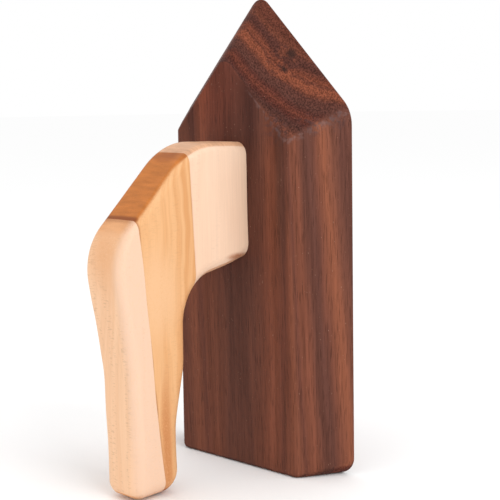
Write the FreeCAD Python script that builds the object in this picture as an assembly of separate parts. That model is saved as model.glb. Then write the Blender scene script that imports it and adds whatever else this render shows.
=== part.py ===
"""Wooden door wedge with a grip handle, standing on its heel.

A flat walnut body with a pointed nose lies with its broad sole on the floor in use, and stands upright on
its heel when put away. The sides and the nose are bevelled, so the sole is larger than the front face, and
the body grows a little thicker from heel to nose. A maple handle of three glued layers stands off the front
face at one end only, and its grip runs down almost to the level of the heel. Two blind dowels pin the joint.

Millimetres. X runs across the body, +Y points out of the sole, +Z runs from heel to nose. The origin is at
the bottom centre of the whole object, on the surface that the heel stands on. Depth is measured from the
sole towards the handle.
"""

import FreeCAD, Part
import math
import os

from FreeCAD import Vector

# Walnut body. The sole's outline is five straight cuts, each given by three numbers: the angle in degrees
# that its outward side turns from +X, its distance from the origin, and its bevel, which is how far the cut
# steps in per millimetre of thickness. Two neighbouring cuts meet in a corner.
RIGHT_CUT = (0.2, 56.1, 0.80)
RIGHT_NOSE_CUT = (44.5, 159.05, 0.93)
LEFT_NOSE_CUT = (136.9, 155.6, 0.80)
LEFT_CUT = (179.55, 56.1, 0.80)
HEEL_CUT = (270.0, 0.0, 0.0)
HEEL_THICKNESS = 22.6
THICKNESS_GROWTH = 0.0150   # thickness gained per millimetre of height
TIP_ROUND = 8.0
SHOULDER_ROUND = 22.0       # the outline's corners are round at the sole
HEEL_CORNER_ROUND = 8.5
FRONT_CORNER_ROUND = 2.6    # and nearly sharp at the front face
SOLE_EDGE_ROUND = 1.2
FRONT_EDGE_ROUND = 2.2
EDGE_ANGLE = 5.0            # faces that turn more than this, in degrees, meet in an edge that is eased

# Maple handle: its outline seen from the side
HANDLE_CENTRE_X = -0.5
HANDLE_THICKNESS = 23.4
POST_TOP_Z = 156.3
POST_UNDERSIDE_Z = 101.0    # at the front face
UNDERSIDE_FALL = 0.19       # the underside drops this much per millimetre away from the body
BEVEL_START_DEPTH = 58.8    # where the flat top turns into the sloping shoulder
SHOULDER_FALL = 0.965
GRIP_END_Z = 1.2            # the grip stops this much above the level of the heel
GRIP_BACK_DEPTH = 96.3      # the palm side of the lower grip
GRIP_BEND_Z = 57.0          # where the palm side starts to lean outwards
PALM_LEAN = 0.152
FINGER_DEPTH_LOW = 69.0     # the finger side near the grip's end
FINGER_DEPTH_HIGH = 64.0
FINGER_BEND_LOW_Z = 32.0
FINGER_BEND_HIGH_Z = 58.0
TOP_BLEND = 36.0
SHOULDER_BLEND = 27.0
PALM_BLEND = 80.0
FINGER_BLEND = 45.0
WEB_BLEND = 21.0            # inside curve where the fingers meet the post
PALM_END_ROUND = 6.0
FINGER_END_ROUND = 10.0

# How wide the handle's side edges are rounded, which changes smoothly from place to place
JOINT_TOP_EDGE = 6.0
TOP_EDGE = 4.2
SHOULDER_EDGE = 3.4
PALM_EDGE = 4.5
GRIP_END_EDGE = 7.0
FINGER_EDGE = 6.5
JOINT_BOTTOM_EDGE = 7.5

# Glue planes between the handle's layers
POST_LAYER_DEPTH = 53.8     # each plane's depth at the level of the heel
POST_LAYER_LEAN = 0.05      # and how much deeper it lies per millimetre of height
BACK_LAYER_DEPTH = 79.3
BACK_LAYER_LEAN = 0.1

# Dowels across the joint between body and handle
DOWEL_RADIUS = 4.0
DOWEL_LENGTH = 36.0
DOWEL_IN_BODY = 13.0
DOWEL_CHAMFER = 0.8
DOWEL_ZS = {"upper_dowel": 143.0, "lower_dowel": 113.0}
FLUTE_COUNT = 12
FLUTE_RADIUS = 0.4
HOLE_CLEARANCE = 0.05
HOLE_RELIEF = 1.5           # spare depth for glue at each end

REACH = 300.0               # longer than the object, for cutting tools


def body_thickness(z):
    return HEEL_THICKNESS + THICKNESS_GROWTH * z


def tangent_arc(before, corner, after, radius):
    """Start, middle and end of the arc that rounds a corner of an outline."""
    inward = (before - corner).normalize()
    outward = (after - corner).normalize()
    half = inward.getAngle(outward) / 2
    setback = radius / math.tan(half)
    bisector = (inward + outward).normalize()
    centre = corner + bisector * (radius / math.sin(half))
    return corner + inward * setback, centre - bisector * radius, corner + outward * setback


def handle_corners():
    """The handle's outline, from the joint's top round to its bottom.

    Each corner is (depth, height, corner radius, rounding of the side edges there).
    """
    drop = POST_TOP_Z - GRIP_BEND_Z
    reach_back = GRIP_BACK_DEPTH - BEVEL_START_DEPTH
    fall = (reach_back + PALM_LEAN * drop) / (1 / SHOULDER_FALL + PALM_LEAN)
    web_z = POST_UNDERSIDE_Z - UNDERSIDE_FALL * (FINGER_DEPTH_HIGH - body_thickness(POST_UNDERSIDE_Z))
    return [
        (body_thickness(POST_TOP_Z), POST_TOP_Z, 0, JOINT_TOP_EDGE),
        (BEVEL_START_DEPTH, POST_TOP_Z, TOP_BLEND, TOP_EDGE),
        (BEVEL_START_DEPTH + fall / SHOULDER_FALL, POST_TOP_Z - fall, SHOULDER_BLEND, SHOULDER_EDGE),
        (GRIP_BACK_DEPTH, GRIP_BEND_Z, PALM_BLEND, PALM_EDGE),
        (GRIP_BACK_DEPTH, GRIP_END_Z, PALM_END_ROUND, GRIP_END_EDGE),
        (FINGER_DEPTH_LOW, GRIP_END_Z, FINGER_END_ROUND, GRIP_END_EDGE),
        (FINGER_DEPTH_LOW, FINGER_BEND_LOW_Z, FINGER_BLEND, FINGER_EDGE),
        (FINGER_DEPTH_HIGH, FINGER_BEND_HIGH_Z, FINGER_BLEND, FINGER_EDGE),
        (FINGER_DEPTH_HIGH, web_z, WEB_BLEND, FINGER_EDGE),
        (body_thickness(POST_UNDERSIDE_Z), POST_UNDERSIDE_Z, 0, JOINT_BOTTOM_EDGE),
    ]


def total_depth():
    """From the sole to the furthest point of the grip, which lies on the shoulder's arc."""
    points = [Vector(0, depth, z) for depth, z, radius, edge_round in handle_corners()[1:4]]
    start, middle, end = tangent_arc(*points, SHOULDER_BLEND)
    return Part.Arc(start, middle, end).toShape().Curve.Center.y + SHOULDER_BLEND


SOLE_Y = total_depth() / 2


def at(x, depth, z):
    """A point given by its depth from the sole."""
    return Vector(x, SOLE_Y - depth, z)


def solid_from(loops):
    """A closed solid from its flat faces, each a loop of points that turns left when seen from outside."""
    faces = [Part.Face(Part.makePolygon(loop + loop[:1])) for loop in loops]
    return Part.Solid(Part.Shell(faces))


def edge_near(solid, point):
    return min(solid.Edges, key=lambda edge: edge.distToShape(Part.Vertex(point))[0])


def turns_sharply(solid, edge):
    """Whether the two faces that meet at the edge form a corner."""
    faces = [face for face in solid.Faces if any(edge.isSame(other) for other in face.Edges)]
    if len(faces) < 2:
        return False
    point = edge.valueAt((edge.FirstParameter + edge.LastParameter) / 2)
    first, second = (face.normalAt(*face.Surface.parameter(point)) for face in faces)
    return first.getAngle(second) > math.radians(EDGE_ANGLE)


def round_corner(solid, sole_point, front_point, sole_radius):
    """Round the edge that joins two corners of the outline, wide at the sole and tight at the front face."""
    edge = edge_near(solid, (sole_point + front_point) * 0.5)
    start = edge.Vertexes[0].Point
    if start.distanceToPoint(sole_point) < start.distanceToPoint(front_point):
        return solid.makeFillet(sole_radius, FRONT_CORNER_ROUND, [edge])
    return solid.makeFillet(FRONT_CORNER_ROUND, sole_radius, [edge])


def cut_line(cut, on_front):
    """The numbers a, b, c of a cut's line a x + b z = c, on the sole or on the front face."""
    angle, distance, bevel = cut
    a = math.cos(math.radians(angle))
    b = math.sin(math.radians(angle))
    if on_front:
        return a, b + bevel * THICKNESS_GROWTH, distance - bevel * HEEL_THICKNESS
    return a, b, distance


def crossing(first_cut, second_cut, on_front):
    """The corner where two cuts meet, on the sole or on the front face."""
    a1, b1, c1 = cut_line(first_cut, on_front)
    a2, b2, c2 = cut_line(second_cut, on_front)
    share = a1 * b2 - a2 * b1
    x = (c1 * b2 - c2 * b1) / share
    z = (a1 * c2 - a2 * c1) / share
    return at(x, body_thickness(z) if on_front else 0, z)


def make_body():
    """The bevelled five-sided board with its corners rounded, its edges eased and the dowel holes drilled."""
    cuts = [HEEL_CUT, RIGHT_CUT, RIGHT_NOSE_CUT, LEFT_NOSE_CUT, LEFT_CUT]
    count = len(cuts)
    sole = [crossing(cuts[i - 1], cuts[i], on_front=False) for i in range(count)]
    front = [crossing(cuts[i - 1], cuts[i], on_front=True) for i in range(count)]
    walls = [[front[i - 1], sole[i - 1], sole[i], front[i]] for i in range(count)]
    block = solid_from([sole[::-1], front] + walls)
    left_heel, right_heel, right_shoulder, tip, left_shoulder = range(count)
    block = block.makeFillet(TIP_ROUND, [edge_near(block, (sole[tip] + front[tip]) * 0.5)])
    for corner, radius in (
        (right_shoulder, SHOULDER_ROUND),
        (left_shoulder, SHOULDER_ROUND),
        (right_heel, HEEL_CORNER_ROUND),
        (left_heel, HEEL_CORNER_ROUND),
    ):
        block = round_corner(block, sole[corner], front[corner], radius)
    block = ease_edges(block, sole[left_heel].y, SOLE_EDGE_ROUND)
    block = ease_edges(block, front[left_heel].y, FRONT_EDGE_ROUND)
    for z in DOWEL_ZS.values():
        block = block.cut(dowel_hole(z))
    return block


def ease_edges(block, y, radius):
    """Round the sharp edges that lie nearer to the face at this y than to the other face."""
    middle_y = SOLE_Y - HEEL_THICKNESS / 2
    edges = [
        edge for edge in block.Edges
        if (edge.CenterOfMass.y - middle_y) * (y - middle_y) > 0 and turns_sharply(block, edge)
    ]
    return block.makeFillet(radius, edges)


def make_handle_blank():
    """The whole handle with its sides rounded over, before it is parted into its glued layers."""
    corners = handle_corners()
    left_x = HANDLE_CENTRE_X - HANDLE_THICKNESS / 2
    points = [at(left_x, depth, z) for depth, z, radius, edge_round in corners]
    edges = []
    rounds = [(points[0], corners[0][3]), (points[-1], corners[-1][3])]
    last = points[0]
    for i in range(1, len(corners) - 1):
        depth, z, radius, edge_round = corners[i]
        start, middle, end = tangent_arc(points[i - 1], points[i], points[i + 1], radius)
        edges.append(Part.LineSegment(last, start).toShape())
        edges.append(Part.Arc(start, middle, end).toShape())
        rounds.append((start, edge_round))
        rounds.append((end, edge_round))
        last = end
    edges.append(Part.LineSegment(last, points[-1]).toShape())
    joint_line = Part.LineSegment(points[-1], points[0]).toShape()
    blank = Part.Face(Part.Wire(edges + [joint_line])).extrude(Vector(HANDLE_THICKNESS, 0, 0))
    return round_sides(blank, rounds, joint_line.CenterOfMass.y)


def round_sides(blank, rounds, joint_y):
    """Round the edges of the handle's two sides, apart from those in the joint with the body.

    rounds are (point of the outline, radius there); along an edge the radius changes from end to end.
    """
    def radius_at(vertex):
        return min(rounds, key=lambda item: math.hypot(item[0].y - vertex.Y, item[0].z - vertex.Z))[1]

    document = FreeCAD.newDocument("handle")
    base = document.addObject("Part::Feature", "blank")
    base.Shape = blank
    fillet = document.addObject("Part::Fillet", "rounded")
    fillet.Base = base
    fillet.Edges = [
        (i + 1, radius_at(edge.firstVertex()), radius_at(edge.lastVertex()))
        for i, edge in enumerate(base.Shape.Edges)
        if runs_along_a_side(edge, joint_y)
    ]
    document.recompute()
    return fillet.Shape


def runs_along_a_side(edge, joint_y):
    """Whether an edge lies in one of the handle's two flat sides, but not in the joint with the body."""
    middle = edge.CenterOfMass
    from_centre = abs(middle.x - HANDLE_CENTRE_X)
    return from_centre > HANDLE_THICKNESS / 4 and abs(middle.y - joint_y) > HANDLE_THICKNESS / 4


def slab(near_depth, near_lean, far_depth, far_lean):
    """Everything between two planes across the handle; each plane's depth changes by its lean with height."""
    loop = [
        at(-REACH, near_depth - near_lean * REACH, -REACH),
        at(-REACH, near_depth + near_lean * REACH, REACH),
        at(-REACH, far_depth + far_lean * REACH, REACH),
        at(-REACH, far_depth - far_lean * REACH, -REACH),
    ]
    return Part.Face(Part.makePolygon(loop + loop[:1])).extrude(Vector(2 * REACH, 0, 0))


def make_handle_layers():
    """The post against the body, the core behind it and the back layer that meets the palm."""
    blank = make_handle_blank()
    post = blank.common(slab(0, 0, POST_LAYER_DEPTH, POST_LAYER_LEAN))
    core = blank.common(slab(POST_LAYER_DEPTH, POST_LAYER_LEAN, BACK_LAYER_DEPTH, BACK_LAYER_LEAN))
    back = blank.common(slab(BACK_LAYER_DEPTH, BACK_LAYER_LEAN, REACH, 0))
    for z in DOWEL_ZS.values():
        post = post.cut(dowel_hole(z))
    return {"handle_post": post, "handle_core": core, "handle_back": back}


def dowel_axis():
    """Unit direction square to the body's front face, pointing into the handle."""
    return Vector(0, -1, -THICKNESS_GROWTH).normalize()


def dowel_centre(z):
    """Where a dowel crosses the joint."""
    return at(HANDLE_CENTRE_X, body_thickness(z), z)


def dowel_hole(z):
    """The blind holes in body and post together, as one cylinder across the joint."""
    axis = dowel_axis()
    start = dowel_centre(z) - axis * (DOWEL_IN_BODY + HOLE_RELIEF)
    return Part.makeCylinder(DOWEL_RADIUS + HOLE_CLEARANCE, DOWEL_LENGTH + 2 * HOLE_RELIEF, start, axis)


def make_dowel(z):
    """A fluted dowel with chamfered ends."""
    axis = dowel_axis()
    start = dowel_centre(z) - axis * DOWEL_IN_BODY
    side = Vector(1, 0, 0)
    other = axis.cross(side)
    dowel = Part.makeCylinder(DOWEL_RADIUS, DOWEL_LENGTH, start, axis)
    end_circles = [edge for edge in dowel.Edges if isinstance(edge.Curve, Part.Circle)]
    dowel = dowel.makeChamfer(DOWEL_CHAMFER, end_circles)
    for i in range(FLUTE_COUNT):
        turn = 2 * math.pi * i / FLUTE_COUNT
        offset = side * (DOWEL_RADIUS * math.cos(turn)) + other * (DOWEL_RADIUS * math.sin(turn))
        dowel = dowel.cut(Part.makeCylinder(FLUTE_RADIUS, DOWEL_LENGTH, start + offset, axis))
    return dowel


def export(name, shape):
    """Write the one solid that the shape holds."""
    if len(shape.Solids) != 1:
        raise ValueError(f"{name} has {len(shape.Solids)} solids instead of one")
    solid = shape.Solids[0]
    if not solid.isValid():
        raise ValueError(f"{name} isn't a valid solid")
    solid.exportStep(f"parts/{name}.step")
    box = solid.optimalBoundingBox(False)
    print(f"{name}: {box.XLength:.1f} x {box.YLength:.1f} x {box.ZLength:.1f} mm")


def main():
    os.makedirs("parts", exist_ok=True)
    parts = {"wedge_body": make_body()}
    parts.update(make_handle_layers())
    for name, z in DOWEL_ZS.items():
        parts[name] = make_dowel(z)
    for name, shape in parts.items():
        export(name, shape)
    print(f"sole plane at y = {SOLE_Y:.3f} mm")


main()
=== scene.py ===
"""Looks of the wooden door wedge: hand-sanded walnut body and laminated maple handle on a pale floor.

Lengths are in metres, except in the wood patterns and in names that end in _mm, which are in millimetres.
Wood is a solid pattern in the frame's own coordinates, so rings, fibres and pores agree on every face of a
piece.
"""

import bmesh
import bpy
import math
from mathutils import Matrix, Vector, noise


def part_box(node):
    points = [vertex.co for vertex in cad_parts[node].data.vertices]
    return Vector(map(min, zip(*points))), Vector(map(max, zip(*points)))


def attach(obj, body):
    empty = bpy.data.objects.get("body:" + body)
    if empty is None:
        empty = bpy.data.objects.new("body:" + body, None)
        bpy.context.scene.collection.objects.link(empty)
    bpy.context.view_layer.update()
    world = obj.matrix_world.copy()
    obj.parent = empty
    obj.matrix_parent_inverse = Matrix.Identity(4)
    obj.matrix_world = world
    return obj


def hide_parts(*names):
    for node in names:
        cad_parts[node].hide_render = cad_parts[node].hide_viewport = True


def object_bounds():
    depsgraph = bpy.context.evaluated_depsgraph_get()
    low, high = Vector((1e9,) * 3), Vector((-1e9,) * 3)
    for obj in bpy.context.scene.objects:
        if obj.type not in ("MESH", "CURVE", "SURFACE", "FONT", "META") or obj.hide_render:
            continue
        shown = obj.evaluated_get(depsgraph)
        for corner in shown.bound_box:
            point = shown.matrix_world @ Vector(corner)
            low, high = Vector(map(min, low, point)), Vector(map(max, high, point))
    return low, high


# Camera, with its angles in degrees
CAMERA_TARGET = Vector((0.0092, 0.03014, 0.1050))
CAMERA_DISTANCE = 0.534
CAMERA_AZIMUTH = 43.53
CAMERA_ELEVATION = 7.14
CAMERA_ROLL = -0.88
CAMERA_LENS = 81.63
CAMERA_CLIP_START = 0.01

# Floor and lights. An area light is given by its side, its power in watts and its place.
FLOOR_SIZE = 60.0
FLOOR_COLOUR = (0.98, 0.98, 0.98, 1)
FLOOR_ROUGHNESS = 0.9
WORLD_COLOUR = (1, 1, 1, 1)
WORLD_LIGHT = 1.0
KEY_LIGHT = (0.9, 8.5, Vector((1.3, -0.2, 0.9)))
FILL_LIGHT = (1.2, 1.0, Vector((-0.8, -1.2, 0.9)))
LIGHT_TARGET = Vector((0, 0, 0.1))

# Hand sanding of the meshes
SANDING_SEED = 4            # fixes the waves, which would otherwise differ from run to run
CELL = 0.005                # flat faces are cut into cells of this size, so that they can wave
SAME_PLACE = 1e-6           # points nearer to each other than this are one point
FLAT_ANGLE = 0.05           # faces that turn less than this, in degrees, are joined before they are cut
SHARP_ANGLE = 35.0          # edges that turn more than this, in degrees, stay sharp
HANDLE_WAVE = 0.024         # length of the handle's waves
HANDLE_SANDING = 0.0005     # and about how far they move its surface, at most
BODY_WAVE = 0.030
BODY_SANDING = 0.00022
SANDING_FADE = 0.012        # the waves die away over this distance from a joint or the floor
JOINT_STILL = 0.001         # the handle has no waves this near its joint with the body
SOLE_FADE = 0.006           # the body's waves die away over this distance from its sole,
FRONT_FADE = 0.009          # and over this distance from its front face,
FRONT_STILL = 0.003         # with none this near that face
PILLOW_REACH = 0.009        # the post starts to narrow this far from the joint
PILLOW_FALL = 0.0004        # and its sides have come in by this much at the joint

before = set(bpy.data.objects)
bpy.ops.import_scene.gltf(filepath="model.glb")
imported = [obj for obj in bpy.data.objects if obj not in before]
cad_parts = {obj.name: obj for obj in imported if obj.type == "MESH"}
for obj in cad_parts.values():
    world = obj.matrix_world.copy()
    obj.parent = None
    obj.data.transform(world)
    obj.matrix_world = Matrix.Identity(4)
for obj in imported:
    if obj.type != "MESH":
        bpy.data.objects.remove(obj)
cad_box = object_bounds()
post_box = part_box("handle_post")
core_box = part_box("handle_core")
back_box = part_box("handle_back")
body_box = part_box("wedge_body")


# ---------------------------------------------------------------- shader nodes

class Shader:
    """Short forms for building one material's node tree."""

    def __init__(self, name, specular):
        self.material = bpy.data.materials.new(name)
        self.material.use_nodes = True
        self.tree = self.material.node_tree
        self.surface = self.tree.nodes["Principled BSDF"]
        self.surface.inputs["Specular IOR Level"].default_value = specular

    def node(self, kind, inputs=(), **settings):
        made = self.tree.nodes.new(kind)
        for key, value in settings.items():
            setattr(made, key, value)
        for socket, value in dict(inputs).items():
            self.feed(made.inputs[socket], value)
        return made

    def feed(self, socket, value):
        if isinstance(value, bpy.types.NodeSocket):
            self.tree.links.new(value, socket)
        else:
            socket.default_value = value

    def math(self, operation, first, second=0.0):
        return self.node("ShaderNodeMath", {0: first, 1: second}, operation=operation).outputs[0]

    def vector(self, operation, first, second):
        return self.node("ShaderNodeVectorMath", {0: first, 1: second}, operation=operation).outputs[0]

    def length(self, vector):
        return self.node("ShaderNodeVectorMath", {0: vector}, operation="LENGTH").outputs["Value"]

    def dot(self, first, second):
        inputs = {0: first, 1: second}
        return self.node("ShaderNodeVectorMath", inputs, operation="DOT_PRODUCT").outputs["Value"]

    def millimetres(self):
        """The place of the shaded point in the frame, in millimetres."""
        place = self.node("ShaderNodeTexCoord").outputs["Object"]
        return self.vector("MULTIPLY", place, (1000, 1000, 1000))

    def parts(self, vector):
        return self.node("ShaderNodeSeparateXYZ", {0: vector}).outputs

    def noise(self, vector, size_mm, detail=2.0, roughness=0.5, offset=0.0):
        """Noise from 0 to 1 whose blobs are about size_mm long along X, Y and Z."""
        scaled = self.vector("DIVIDE", vector, size_mm)
        moved = self.vector("ADD", scaled, (offset, offset, offset))
        inputs = {"Vector": moved, "Scale": 1.0, "Detail": detail, "Roughness": roughness}
        return self.node("ShaderNodeTexNoise", inputs).outputs[0]

    def ring_lines(self, ring, along, stretch_mm):
        """Noise from 0 to 1 that changes from ring to ring, and only slowly along the grain."""
        place = self.node("ShaderNodeCombineXYZ", {0: ring, 2: self.math("DIVIDE", along, stretch_mm)})
        inputs = {"Vector": place.outputs[0], "Scale": 1.0, "Detail": 3.0}
        return self.node("ShaderNodeTexNoise", inputs).outputs[0]

    def swing(self, value, amount):
        """A noise value of 0 to 1 turned into minus to plus half the amount."""
        return self.math("MULTIPLY", self.math("SUBTRACT", value, 0.5), amount)

    def fade(self, value, low, high):
        """0 at low, 1 at high and smooth between; high may be the smaller one."""
        inputs = {"Value": value, "From Min": low, "From Max": high}
        return self.node("ShaderNodeMapRange", inputs, interpolation_type="SMOOTHSTEP").outputs[0]

    def band(self, value, start, full, fading, end):
        """1 from full to fading, 0 before start and after end, and smooth between."""
        return self.math("MULTIPLY", self.fade(value, start, full), self.fade(value, end, fading))

    def mix(self, factor, first, second):
        made = self.node("ShaderNodeMix", data_type="RGBA")
        self.feed(made.inputs["Factor"], factor)
        self.feed(made.inputs[6], first)
        self.feed(made.inputs[7], second)
        return made.outputs[2]

    def shade(self, colour, value, low, high):
        """Multiply a colour by a grey that goes from low to high as value goes from 0 to 1."""
        grey = self.node("ShaderNodeMapRange", {"Value": value, "To Min": low, "To Max": high}).outputs[0]
        start = colour[:3] if isinstance(colour, tuple) else colour
        return self.node("ShaderNodeVectorMath", {0: start, 3: grey}, operation="SCALE").outputs[0]

    def ramp(self, value, stops):
        """Colours that follow a value; stops are (value, colour) pairs in rising order."""
        low, high = stops[0][0], stops[-1][0]
        made = self.node("ShaderNodeValToRGB")
        elements = made.color_ramp.elements
        elements.remove(elements[1])
        for i, (place, colour) in enumerate(stops):
            position = (place - low) / (high - low)
            element = elements[0] if i == 0 else elements.new(position)
            element.position = position
            element.color = colour
        inputs = {"Value": value, "From Min": low, "From Max": high}
        self.feed(made.inputs[0], self.node("ShaderNodeMapRange", inputs).outputs[0])
        return made.outputs[0]

    def blob(self, mm, centre_mm, size_mm):
        """1 near a centre, falling to 0 at an ellipsoid of these half sizes."""
        away = self.vector("DIVIDE", self.vector("SUBTRACT", mm, centre_mm), size_mm)
        return self.fade(self.length(away), 1.0, 0.2)

    def end_grain(self, low, high):
        """0 where the surface runs along the fibres and 1 where it cuts across them."""
        normal = self.node("ShaderNodeNewGeometry").outputs["Normal"]
        return self.fade(self.math("ABSOLUTE", self.parts(normal)[2]), low, high)

    def finish(self, colour, roughness, height, depth_mm):
        """Join the colour, roughness and bump to the surface, and return the material."""
        self.feed(self.surface.inputs["Base Color"], colour)
        self.feed(self.surface.inputs["Roughness"], roughness)
        inputs = {"Height": height, "Distance": depth_mm / 1000}
        self.feed(self.surface.inputs["Normal"], self.node("ShaderNodeBump", inputs).outputs[0])
        return self.material


def srgb(red, green, blue):
    """A colour as seen on a screen, 0 to 255, in the linear values that shaders take."""
    def linear(value):
        share = value / 255
        return share / 12.92 if share <= 0.04045 else ((share + 0.055) / 1.055) ** 2.4
    return (linear(red), linear(green), linear(blue), 1.0)


# ---------------------------------------------------------------- walnut

SOLE_MM = body_box[1].y * 1000
WALNUT_FRONT_MM = SOLE_MM - 23.5                # the front face, about a quarter of the way up
WALNUT_PITH_MM = (5.0, SOLE_MM + 65.0, 0.0)     # the tree's centre, beyond the sole
WALNUT_TAPER = 0.023                            # rings lean this much towards the sole going down,
WALNUT_TAPER_Z_MM = 155.0                       # and are at their given distance at this height
BROAD_WANDER_MM = 2.4                           # the rings' whole swing in and out over long waves,
FINE_WANDER_MM = 1.5                            # and over short ones
WALNUT_RINGS = (                                # distance from the pith, and the wood's colour there
    (62.0, srgb(118, 65, 48)),
    (68.5, srgb(112, 63, 48)),
    (70.5, srgb(124, 71, 53)),
    (72.0, srgb(98, 58, 48)),
    (73.5, srgb(98, 58, 48)),
    (75.0, srgb(118, 66, 50)),
    (76.0, srgb(134, 74, 53)),
    (77.0, srgb(118, 67, 51)),
    (78.2, srgb(148, 83, 58)),
    (80.0, srgb(136, 77, 56)),
    (81.3, srgb(102, 61, 50)),
    (84.0, srgb(98, 61, 51)),
    (85.4, srgb(115, 70, 55)),
    (86.8, srgb(138, 82, 60)),
    (88.4, srgb(112, 67, 53)),
    (89.6, srgb(93, 58, 49)),
    (91.3, srgb(97, 59, 48)),
    (92.6, srgb(122, 72, 55)),
    (93.6, srgb(114, 67, 51)),
    (94.6, srgb(104, 62, 50)),
    (96.0, srgb(124, 74, 56)),
    (98.0, srgb(108, 65, 51)),
    (101.0, srgb(94, 56, 46)),
    (105.0, srgb(104, 62, 48)),
)
WALNUT_FRONT_PATCHES_MM = (                            # long tinted patches on the front face, most of them darker: place, half sizes, tint
    ((-6.0, WALNUT_FRONT_MM, 185.0), (26.0, 12.0, 45.0), (1.12, 0.84, 0.74)),
    ((-27.0, WALNUT_FRONT_MM, 170.0), (11.0, 14.0, 36.0), (0.58, 0.60, 0.66)),
    ((14.0, WALNUT_FRONT_MM, 172.0), (9.0, 12.0, 38.0), (0.70, 0.66, 0.68)),
    ((30.0, WALNUT_FRONT_MM, 162.0), (10.0, 8.0, 26.0), (0.74, 0.70, 0.70)),
    ((4.0, WALNUT_FRONT_MM, 75.0), (24.0, 14.0, 140.0), (0.84, 0.88, 0.90)),
    ((-14.0, WALNUT_FRONT_MM, 70.0), (9.0, 14.0, 120.0), (0.82, 0.84, 0.86)),
    ((32.0, WALNUT_FRONT_MM - 1.5, 132.0), (4.5, 7.0, 62.0), (0.66, 0.76, 0.86)),
)
WALNUT_PORE = srgb(50, 29, 22)
PORE_STRENGTH = 0.50
WALNUT_GRIT = srgb(190, 150, 128)               # a few pale grains that sanding left in the pores
GRIT_STRENGTH = 0.4
WALNUT_ROUGHNESS = 0.50

# End grain multiplies the colour by one tint, and one year's wood by a second one
WALNUT_END_TINT = (0.97, 0.95, 0.98)
DARK_YEAR_TINT = (0.74, 0.63, 0.68)
DARK_YEAR_MM = (83.5, 85.5, 88.0, 90.5)         # the rings where that year starts, is full, fades and ends

# Knots on the right-hand nose bevel
PIN_KNOTS_MM = (                                # place and half sizes
    ((22.8, SOLE_MM - 5.7, 196.1), (3.4, 3.4, 4.6)),
    ((23.1, SOLE_MM - 11.1, 188.7), (3.6, 1.6, 2.4)),
)
KNOT_SWIRL_MM = ((20.5, SOLE_MM - 10.0, 193.0), (12.0, 10.0, 15.0))
KNOT_PULL_MM = 2.2                              # inside the swirl the rings bend this far from the pith,
KNOT_CURL_MM = 15.0                             # and this is their whole swing in and out
WALNUT_KNOT = srgb(46, 33, 30)
KNOT_STRENGTH = 0.80

# Sanding dust and dirt that is left along the nose's lower edges and at their corners
WALNUT_DUST = srgb(124, 98, 94)
DUST_STRENGTH = 0.50
DUST_BAND_MM = (0.2, 0.5, 0.6, 2.2)             # depths below the bevel: it starts, is full, fades and ends
DUST_TOP_MM = (185.0, 168.0)                    # heights where it has died away and where it is full
WALNUT_SMUDGE = srgb(72, 54, 54)
SMUDGE_STRENGTH = 0.5
SMUDGED_CORNERS_MM = (                          # place and half sizes
    ((31.0, SOLE_MM - 25.0, 164.0), (13.0, 5.0, 12.0)),
    ((42.0, SOLE_MM - 15.0, 163.0), (10.0, 7.0, 8.0)),
    ((50.0, SOLE_MM - 6.5, 165.0), (7.0, 6.0, 7.0)),
)
BEVEL_FACING = 0.3                              # the right-hand nose bevel faces at least this much to each
                                                # of +X, -Y and +Z


def walnut_rings(s, mm):
    """Distance from the tree's centre in mm, with the rings' wander and their curl round the knots."""
    swirl = s.blob(mm, *KNOT_SWIRL_MM)
    flat = s.vector("MULTIPLY", s.vector("SUBTRACT", mm, WALNUT_PITH_MM), (1, 1, 0))
    taper = s.math("MULTIPLY", s.math("SUBTRACT", WALNUT_TAPER_Z_MM, s.parts(mm)[2]), WALNUT_TAPER)
    ring = s.math("ADD", s.length(flat), taper)
    ring = s.math("ADD", ring, s.swing(s.noise(mm, (26, 26, 200)), BROAD_WANDER_MM))
    ring = s.math("ADD", ring, s.swing(s.noise(mm, (4, 4, 60), offset=7), FINE_WANDER_MM))
    ring = s.math("SUBTRACT", ring, s.math("MULTIPLY", swirl, KNOT_PULL_MM))
    curls = s.noise(mm, (3.2, 3.2, 4.5), detail=2, offset=19)
    return s.math("ADD", ring, s.math("MULTIPLY", swirl, s.swing(curls, KNOT_CURL_MM)))


def walnut_along(s, mm, colour, streak, pore):
    """The colour where the surface runs along the fibres: streaks, long tinted patches and dark pores."""
    colour = s.shade(colour, streak, 0.62, 1.36)
    for centre, size, tint in WALNUT_FRONT_PATCHES_MM:
        colour = s.mix(s.blob(mm, centre, size), colour, s.vector("MULTIPLY", colour, tint))
    return s.mix(s.math("MULTIPLY", pore, PORE_STRENGTH), colour, WALNUT_PORE)


def walnut_across(s, colour, ring, speck):
    """The colour where the surface cuts across the fibres: a speckle of open pores, and one darker year."""
    colour = s.vector("MULTIPLY", s.shade(colour, speck, 0.40, 0.98), WALNUT_END_TINT)
    return s.mix(s.band(ring, *DARK_YEAR_MM), colour, s.vector("MULTIPLY", colour, DARK_YEAR_TINT))


def nose_plane():
    """Unit normal of the right-hand nose bevel, and its distance from the frame's origin in mm."""
    faces = [
        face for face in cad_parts["wedge_body"].data.polygons
        if min(face.normal.x, -face.normal.y, face.normal.z) > BEVEL_FACING
    ]
    face = max(faces, key=lambda candidate: candidate.area)
    return face.normal.copy(), face.normal.dot(face.center) * 1000


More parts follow.
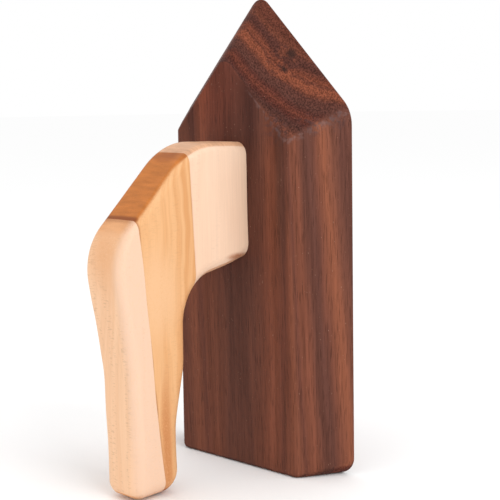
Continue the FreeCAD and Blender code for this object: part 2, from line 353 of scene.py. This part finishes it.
def with_nose_dust(s, mm, colour):
    """A colour with dust along the nose's lower edges and smudges at their corners."""
    normal, distance = nose_plane()
    below_bevel = s.math("SUBTRACT", distance, s.dot(mm, tuple(normal)))
    scuff = s.fade(s.noise(mm, (2.2, 2.2, 2.2), detail=3, offset=51), 0.42, 0.62)
    dusty = s.math("MULTIPLY", s.band(below_bevel, *DUST_BAND_MM), scuff)
    dusty = s.math("MULTIPLY", dusty, s.fade(s.parts(mm)[2], *DUST_TOP_MM))
    colour = s.mix(s.math("MULTIPLY", dusty, DUST_STRENGTH), colour, WALNUT_DUST)
    for centre, size in SMUDGED_CORNERS_MM:
        smudge = s.math("MULTIPLY", s.blob(mm, centre, size), scuff)
        colour = s.mix(s.math("MULTIPLY", smudge, SMUDGE_STRENGTH), colour, WALNUT_SMUDGE)
    return colour


def walnut():
    """Dark walnut with curved rings, long fibres, open pores and two pin knots."""
    s = Shader("oiled_walnut", specular=0.05)
    mm = s.millimetres()
    ring = walnut_rings(s, mm)
    lines = s.ring_lines(s.math("MULTIPLY", ring, 1.1), s.parts(mm)[2], stretch_mm=150)
    colour = s.shade(s.ramp(ring, WALNUT_RINGS), lines, 0.62, 1.38)

    streak = s.noise(mm, (1.0, 1.0, 150), detail=4, roughness=0.65, offset=3)
    pore = s.fade(s.noise(mm, (0.30, 0.30, 9.0), detail=1, offset=11), 0.58, 0.70)
    speck = s.fade(s.noise(mm, (0.62, 0.62, 1.1), detail=1, offset=23), 0.28, 0.72)
    end = s.end_grain(0.25, 0.50)
    colour = s.mix(end, walnut_along(s, mm, colour, streak, pore), walnut_across(s, colour, ring, speck))

    grit = s.fade(s.noise(mm, (0.35, 0.35, 1.0), detail=0, offset=41), 0.83, 0.87)
    colour = s.mix(s.math("MULTIPLY", grit, GRIT_STRENGTH), colour, WALNUT_GRIT)
    knot = s.math("MAXIMUM", *[s.blob(mm, centre, size) for centre, size in PIN_KNOTS_MM])
    colour = s.mix(s.math("MULTIPLY", knot, KNOT_STRENGTH), colour, WALNUT_KNOT)
    colour = with_nose_dust(s, mm, colour)

    roughness = s.math("ADD", WALNUT_ROUGHNESS, s.swing(streak, 0.16))
    height = s.math("SUBTRACT", s.math("MULTIPLY", streak, 0.6), pore)
    height = s.math("ADD", height, s.math("MULTIPLY", end, speck))
    return s.finish(colour, roughness, height, depth_mm=0.05)


# ---------------------------------------------------------------- maple

# Glue planes: each one's Y at the heel's level, and how far it leans away from the body per height gained
GLUE_POST_LEAN = (core_box[1].y - post_box[0].y) / (post_box[1].z - post_box[0].z)
GLUE_POST_MM = (post_box[0].y + GLUE_POST_LEAN * post_box[1].z) * 1000
GLUE_BACK_LEAN = (back_box[1].y - core_box[0].y) / (back_box[1].z - back_box[0].z)
GLUE_BACK_MM = (back_box[1].y + GLUE_BACK_LEAN * back_box[0].z) * 1000
GLUE_AND_SHADOW_BROWN = srgb(132, 70, 34)
MAPLE_ROUGHNESS = 0.48


def glue_distance(s, mm, start_mm, lean):
    """How far a place is from a glue plane that leans away from the body going up."""
    level = s.math("ADD", s.parts(mm)[1], s.math("MULTIPLY", s.parts(mm)[2], lean))
    return s.math("ABSOLUTE", s.math("SUBTRACT", level, start_mm))


def glue_lines_and_painted_shadow(s, mm, end):
    """From 0 to 1: brown wood near the glue planes, and painted shadow on the end grain behind the post;
    end is 1 on end grain.
    """
    near_post = glue_distance(s, mm, GLUE_POST_MM, GLUE_POST_LEAN)
    near_back = glue_distance(s, mm, GLUE_BACK_MM, GLUE_BACK_LEAN)
    uneven = s.fade(s.noise(mm, (5, 5, 14), detail=2, offset=61), 0.25, 0.65)
    line = s.math("MULTIPLY", s.fade(s.math("MINIMUM", near_post, near_back), 0.8, 0.1), uneven)
    cut_line = s.math("MULTIPLY", s.fade(near_back, 2.2, 0.7), end)
    # Painted shadow: the post's shade darkens the end grain within 7 mm of the post's glue plane
    shadow = s.math("MULTIPLY", s.fade(near_post, 7.0, 0.0), s.math("MULTIPLY", end, uneven))
    soft = s.math("MAXIMUM", s.math("MULTIPLY", line, 0.5), s.math("MULTIPLY", shadow, 0.6))
    return s.math("MAXIMUM", soft, cut_line)


def maple(name, face, late, cut, pith_mm, ring_mm, wave_mm, flecks=0.05, glue_and_shadow=0.0, stains_and_shade=()):
    """Maple with faint rings, silky fibres and ladders of ray flecks.

    late is the colour of the rings' darker part, and cut that of end grain. flecks is how dark the flecks
    are, and the strength after it how much the wood darkens at its glue lines and in the painted shadow
    behind the post. The last argument lists stains and patches of painted shade, each as (colour,
    strength, centre_mm, half sizes_mm).
    """
    s = Shader(name, specular=0.15)
    mm = s.millimetres()
    wobble = s.swing(s.noise(mm, (14, 14, 45), offset=2), wave_mm)
    flat = s.vector("MULTIPLY", s.vector("SUBTRACT", mm, pith_mm), (1, 1, 0))
    ring = s.math("DIVIDE", s.math("ADD", s.length(flat), wobble), ring_mm)
    years = s.ring_lines(ring, s.parts(mm)[2], stretch_mm=200)
    colour = s.mix(s.fade(years, 0.40, 0.70), face, late)

    fibre = s.noise(mm, (0.8, 0.8, 40), detail=4, roughness=0.6, offset=5)
    colour = s.shade(colour, fibre, 0.90, 1.10)
    fleck = s.fade(s.noise(mm, (3.0, 2.5, 0.65), detail=1, offset=17), 0.54, 0.66)
    column = s.fade(s.noise(mm, (4.0, 9.0, 70), detail=1, offset=18), 0.46, 0.58)
    colour = s.shade(colour, s.math("MULTIPLY", fleck, column), 1.0, 1.0 - flecks)

    end = s.end_grain(0.52, 0.70)
    pores = s.noise(mm, (0.5, 0.5, 1.0), detail=3, roughness=0.7, offset=31)
    bands = s.noise(mm, (9.0, 1.6, 60), detail=3, offset=37)
    rough_cut = s.shade(s.shade(cut, pores, 0.84, 1.16), bands, 0.66, 1.34)
    colour = s.mix(end, colour, rough_cut)

    # Brown glue lines, and the painted shadow behind the post
    colour = s.mix(s.math("MULTIPLY", glue_lines_and_painted_shadow(s, mm, end), glue_and_shadow), colour, GLUE_AND_SHADOW_BROWN)
    # Stains, and patches of painted shade
    for patch_colour, strength, centre, size in stains_and_shade:
        patch = s.math("MULTIPLY", s.blob(mm, centre, size), s.fade(pores, 0.15, 0.55))
        colour = s.mix(s.math("MULTIPLY", patch, strength), colour, patch_colour)

    roughness = s.math("ADD", MAPLE_ROUGHNESS, s.swing(fibre, 0.14))
    height = s.math("SUBTRACT", s.math("MULTIPLY", fibre, 0.6), s.math("MULTIPLY", fleck, 0.4))
    return s.finish(colour, roughness, height, depth_mm=0.02)


def pale_maple():
    edge_streak = (srgb(168, 98, 58), 0.9, (9.0, SOLE_MM - 32.0, 103.4), (5.0, 10.0, 2.4))
    return maple("pale_maple", srgb(239, 208, 183), srgb(232, 196, 168), srgb(214, 166, 131),
                 pith_mm=(-160.0, 20.0, 0.0), ring_mm=3.0, wave_mm=3.0, glue_and_shadow=0.35,
                 stains_and_shade=(edge_streak,))


def back_maple():
    warm_top = (srgb(222, 166, 120), 0.8, (0.0, SOLE_MM - 99.0, 112.0), (16.0, 14.0, 26.0))
    pale_side = (srgb(228, 192, 166), 1.0, (11.7, SOLE_MM - 90.0, 60.0), (7.5, 60.0, 200.0))
    return maple("back_maple", srgb(237, 194, 157), srgb(230, 183, 144), srgb(215, 154, 105),
                 pith_mm=(-120.0, -270.0, 0.0), ring_mm=2.0, wave_mm=1.5, flecks=0.15, glue_and_shadow=0.5,
                 stains_and_shade=(warm_top, pale_side))


def honey_maple():
    light_side = (srgb(226, 180, 137), 0.9, (11.7, SOLE_MM - 82.0, 92.0), (6.0, 18.0, 30.0))
    # Darker orange-brown low on the core's finger side: partly the wood's own colour, partly painted shade
    finger_side_colour_and_shade = (srgb(200, 134, 82), 0.7, (4.0, SOLE_MM - 64.0, 45.0), (14.0, 9.0, 70.0))
    # Painted shade: a soft shadow stripe on the core's side along its glue line with the back
    painted_glue_line_shadow = (srgb(188, 120, 70), 0.8, (11.5, SOLE_MM - 78.5, 22.0), (5.0, 4.5, 46.0))
    dark_top = (srgb(150, 82, 38), 0.5, (-1.0, SOLE_MM - 64.5, 150.0), (14.0, 5.5, 5.5))
    return maple("honey_maple", srgb(223, 172, 123), srgb(210, 152, 100), srgb(186, 112, 52),
                 pith_mm=(-80.0, -60.0, 0.0), ring_mm=1.4, wave_mm=5.0, glue_and_shadow=0.9,
                 stains_and_shade=(light_side, finger_side_colour_and_shade, painted_glue_line_shadow, dark_top))


def dowel_wood():
    return maple("dowel_wood", srgb(222, 190, 152), srgb(206, 170, 130), srgb(190, 150, 110),
                 pith_mm=(0.0, 0.0, 0.0), ring_mm=1.2, wave_mm=1.0)


# ---------------------------------------------------------------- meshes

def cut_into_cells(bm):
    """Cut a mesh by planes across X, Y and Z, so that its flat faces have points to move."""
    for axis in range(3):
        places = [vert.co[axis] for vert in bm.verts]
        normal = Vector((0, 0, 0))
        normal[axis] = 1
        first = math.floor(min(places) / CELL) + 1
        last = math.ceil(max(places) / CELL)
        for step in range(first, last):
            parts = bm.verts[:] + bm.edges[:] + bm.faces[:]
            place = normal * step * CELL
            bmesh.ops.bisect_plane(bm, geom=parts, plane_co=place, plane_no=normal, dist=SAME_PLACE)


def sanded_copy(node, name, move):
    """A copy of a CAD node's mesh with its points moved a little, as hand sanding leaves them."""
    bm = bmesh.new()
    bm.from_mesh(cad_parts[node].data)
    bmesh.ops.remove_doubles(bm, verts=bm.verts, dist=SAME_PLACE)
    bmesh.ops.dissolve_limit(bm, angle_limit=math.radians(FLAT_ANGLE), verts=bm.verts, edges=bm.edges)
    cut_into_cells(bm)
    bmesh.ops.triangulate(bm, faces=bm.faces)
    for face in bm.faces:
        face.smooth = True
    for edge in bm.edges:
        edge.smooth = edge.calc_face_angle(0) < math.radians(SHARP_ANGLE)
    low, high = cad_box
    for vert in bm.verts:
        moved = move(vert.co)
        vert.co = [min(max(value, least), most) for value, least, most in zip(moved, low, high)]
    mesh = bpy.data.meshes.new(name)
    bm.to_mesh(mesh)
    bm.free()
    piece = bpy.data.objects.new(name, mesh)
    bpy.context.scene.collection.objects.link(piece)
    weighted = piece.modifiers.new("weighted_normals", "WEIGHTED_NORMAL")
    weighted.keep_sharp = True
    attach(piece, "root")
    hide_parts(node)
    return piece


def ease(value, start, end):
    """0 at start, 1 at end and smooth between."""
    share = min(max((value - start) / (end - start), 0), 1)
    return share * share * (3 - 2 * share)


def sand_handle(place):
    """Long shallow waves over the handle, and a post that narrows a little where it meets the body."""
    to_joint = post_box[1].y - place.y
    fade = ease(to_joint, JOINT_STILL, SANDING_FADE) * ease(place.z, 0.0, SANDING_FADE)
    waves = noise.noise_vector(place / HANDLE_WAVE) * HANDLE_SANDING * fade
    middle = (post_box[0] + post_box[1]) / 2
    from_middle = Vector((place.x - middle.x, 0, place.z - middle.z))
    pillow = from_middle.normalized() * PILLOW_FALL * ease(to_joint, PILLOW_REACH, 0.0)
    return place + waves - pillow


def sand_body(place):
    """Shallower waves on the body's bevels, dying away at the flat sole, the heel and the front face."""
    low, high = body_box
    fade = ease(high.y - place.y, 0.0, SOLE_FADE) * ease(place.y - low.y, FRONT_STILL, FRONT_FADE)
    fade *= ease(place.z, 0.0, SANDING_FADE)
    return place + noise.noise_vector(place / BODY_WAVE) * BODY_SANDING * fade


# ---------------------------------------------------------------- stage

def make_camera():
    data = bpy.data.cameras.new("camera")
    data.lens = CAMERA_LENS
    data.clip_start = CAMERA_CLIP_START
    camera = bpy.data.objects.new("camera", data)
    bpy.context.scene.collection.objects.link(camera)
    azimuth = math.radians(CAMERA_AZIMUTH)
    elevation = math.radians(CAMERA_ELEVATION)
    level = Vector((math.sin(azimuth), -math.cos(azimuth), 0))
    back = level * math.cos(elevation) + Vector((0, 0, math.sin(elevation)))
    upright = (-back).to_track_quat("-Z", "Y").to_matrix().to_4x4()
    roll = Matrix.Rotation(math.radians(CAMERA_ROLL), 4, "Z")
    camera.matrix_world = Matrix.Translation(CAMERA_TARGET + back * CAMERA_DISTANCE) @ upright @ roll
    bpy.context.scene.camera = camera


def make_floor():
    bpy.ops.mesh.primitive_plane_add(size=FLOOR_SIZE)
    floor = bpy.context.object
    floor.name = "floor"
    s = Shader("pale_floor", specular=0.0)
    s.feed(s.surface.inputs["Base Color"], FLOOR_COLOUR)
    s.feed(s.surface.inputs["Roughness"], FLOOR_ROUGHNESS)
    floor.data.materials.append(s.material)


def area_light(name, size, power, place):
    data = bpy.data.lights.new(name, "AREA")
    data.size = size
    data.energy = power
    light = bpy.data.objects.new(name, data)
    light.location = place
    light.rotation_mode = "QUATERNION"
    light.rotation_quaternion = (LIGHT_TARGET - place).to_track_quat("-Z", "Y")
    bpy.context.scene.collection.objects.link(light)


def make_lights():
    area_light("key", *KEY_LIGHT)
    area_light("fill", *FILL_LIGHT)
    world = bpy.data.worlds.new("studio")
    world.use_nodes = True
    background = world.node_tree.nodes["Background"]
    background.inputs["Color"].default_value = WORLD_COLOUR
    background.inputs["Strength"].default_value = WORLD_LIGHT
    bpy.context.scene.world = world
    bpy.context.scene.view_settings.view_transform = "Standard"


def paint(piece, material):
    piece.data.materials.clear()
    piece.data.materials.append(material)


noise.seed_set(SANDING_SEED)
make_camera()
make_floor()
make_lights()
paint(sanded_copy("wedge_body", "walnut_body", sand_body), walnut())
paint(sanded_copy("handle_post", "maple_post", sand_handle), pale_maple())
paint(sanded_copy("handle_core", "maple_core", sand_handle), honey_maple())
paint(sanded_copy("handle_back", "maple_back", sand_handle), back_maple())
dowel = dowel_wood()
for node in ("upper_dowel", "lower_dowel"):
    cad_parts[node].material_slots[0].material = dowel
